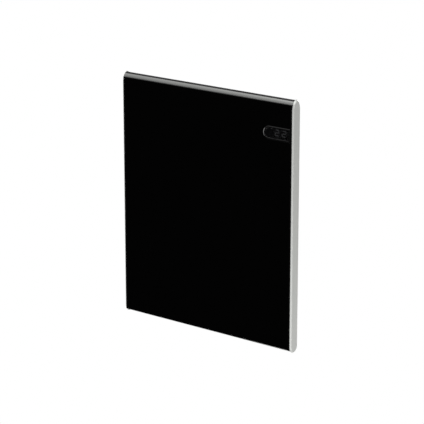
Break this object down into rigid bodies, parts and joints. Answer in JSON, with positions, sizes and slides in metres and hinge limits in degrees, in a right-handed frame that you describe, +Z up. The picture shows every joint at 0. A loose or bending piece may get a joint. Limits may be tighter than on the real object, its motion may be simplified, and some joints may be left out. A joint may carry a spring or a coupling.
{
  "type": "infrared panel heater",
  "caption": "Slim wall-hung infrared panel heater with a black glass front, rounded silver end caps, a curved top rail and a capsule display with a round button.",
  "frame": {"origin": "centre of the four wall screws, on the wall plane that the bracket's webs lie on", "axes": "+Z up, +X to the right as seen from the room, +Y into the wall, so the glass faces -Y"},
  "size_m": [0.5, 0.0538, 0.6],
  "materials": {
    "black_glass": "polished toughened glass, back-coated black",
    "black_frame": "satin black extruded strip",
    "silver_rail": "satin silver lacquer on rolled aluminium",
    "silver_cap": "satin silver paint",
    "housing_steel": "dark grey powder coat",
    "silicone": "cured black silicone",
    "screw_steel": "zinc plated",
    "heater_film": "carbon film",
    "contact_brass": "tinned brass",
    "mica": "pressed mica",
    "foil": "bright rolled foil",
    "mineral_board": "pressed mineral wool",
    "can_metal": "drawn can",
    "sheet_steel": "galvanised",
    "bezel_black": "moulded ABS",
    "smoked_lens": "smoked acrylic",
    "button_black": "moulded ABS",
    "switch_body": "moulded nylon",
    "display_block": "potted LED block",
    "board_green": "solder-masked laminate",
    "component_blue": "moulded relay case",
    "core_steel": "varnished laminations",
    "terminal_grey": "moulded polyamide",
    "wire_insulation": "silicone-insulated lead",
    "tray_plastic": "moulded ABS",
    "rocker_black": "moulded polycarbonate",
    "gland_nylon": "moulded nylon",
    "bracket_steel": "dark grey powder coat",
    "lock_plastic": "glass-filled nylon",
    "spring_steel": "spring wire"
  },
  "bodies": {
    "panel": {"front_glass": "black_glass", "side_strip_left": "black_frame", "side_strip_right": "black_frame", "top_rail": "silver_rail", "bottom_rail": "silver_rail", "glass_adhesive": "silicone", "rear_housing": "housing_steel", "end_cap_left": "silver_cap", "end_cap_right": "silver_cap", "end_cap_screws": "screw_steel", "heating_film": "heater_film", "element_tabs": "contact_brass", "mica_sheet": "mica", "reflector_foil": "foil", "insulation_board": "mineral_board", "thermal_cutout": "can_metal", "thermal_fuse": "can_metal", "bay_partition": "sheet_steel", "display_bezel": "bezel_black", "display_window": "smoked_lens", "tact_switch": "switch_body", "display_module": "display_block", "control_board": "board_green", "power_board": "board_green", "board_posts": "contact_brass", "board_screws": "screw_steel", "relay": "component_blue", "transformer": "core_steel", "terminal_block": "terminal_grey", "room_sensor": "switch_body", "earth_stud": "screw_steel", "earth_nut": "contact_brass", "inner_wires": "wire_insulation", "ribbon_cable": "wire_insulation", "service_tray": "tray_plastic", "rocker_housing": "tray_plastic", "cable_gland": "gland_nylon", "gland_nut": "gland_nylon", "bracket_upright_left": "bracket_steel", "bracket_upright_right": "bracket_steel", "bracket_bar_top": "bracket_steel", "bracket_bar_bottom": "bracket_steel", "bracket_rivets": "screw_steel", "hanger_plates": "sheet_steel", "lock_housing_left": "lock_plastic", "lock_housing_right": "lock_plastic", "lock_spring_left": "spring_steel", "lock_spring_right": "spring_steel"},
    "rocker": {"rocker": "rocker_black"},
    "mode_button": {"mode_button": "button_black"},
    "lock_plunger_left": {"lock_plunger_left": "lock_plastic"},
    "lock_plunger_right": {"lock_plunger_right": "lock_plastic"}
  },
  "joints": [
    {"name": "rocker_tilt", "type": "hinge", "parent": "panel", "child": "rocker", "pos_m": [0.182, -0.0363, -0.2885], "axis": [0, 1, 0], "range_deg": [0, 20]},
    {"name": "mode_button_press", "type": "slide", "parent": "panel", "child": "mode_button", "axis": [0, 1, 0], "range_m": [0, 0.0008], "stiffness_N_per_m": 500, "springref_m": -0.0005},
    {"name": "lock_pull_left", "type": "slide", "parent": "panel", "child": "lock_plunger_left", "axis": [0, 1, 0], "range_m": [0, 0.004], "stiffness_N_per_m": 600, "springref_m": -0.003, "deforming": ["lock_spring_left"]},
    {"name": "lock_pull_right", "type": "slide", "parent": "panel", "child": "lock_plunger_right", "axis": [0, 1, 0], "range_m": [0, 0.004], "stiffness_N_per_m": 600, "springref_m": -0.003, "deforming": ["lock_spring_right"]}
  ]
}
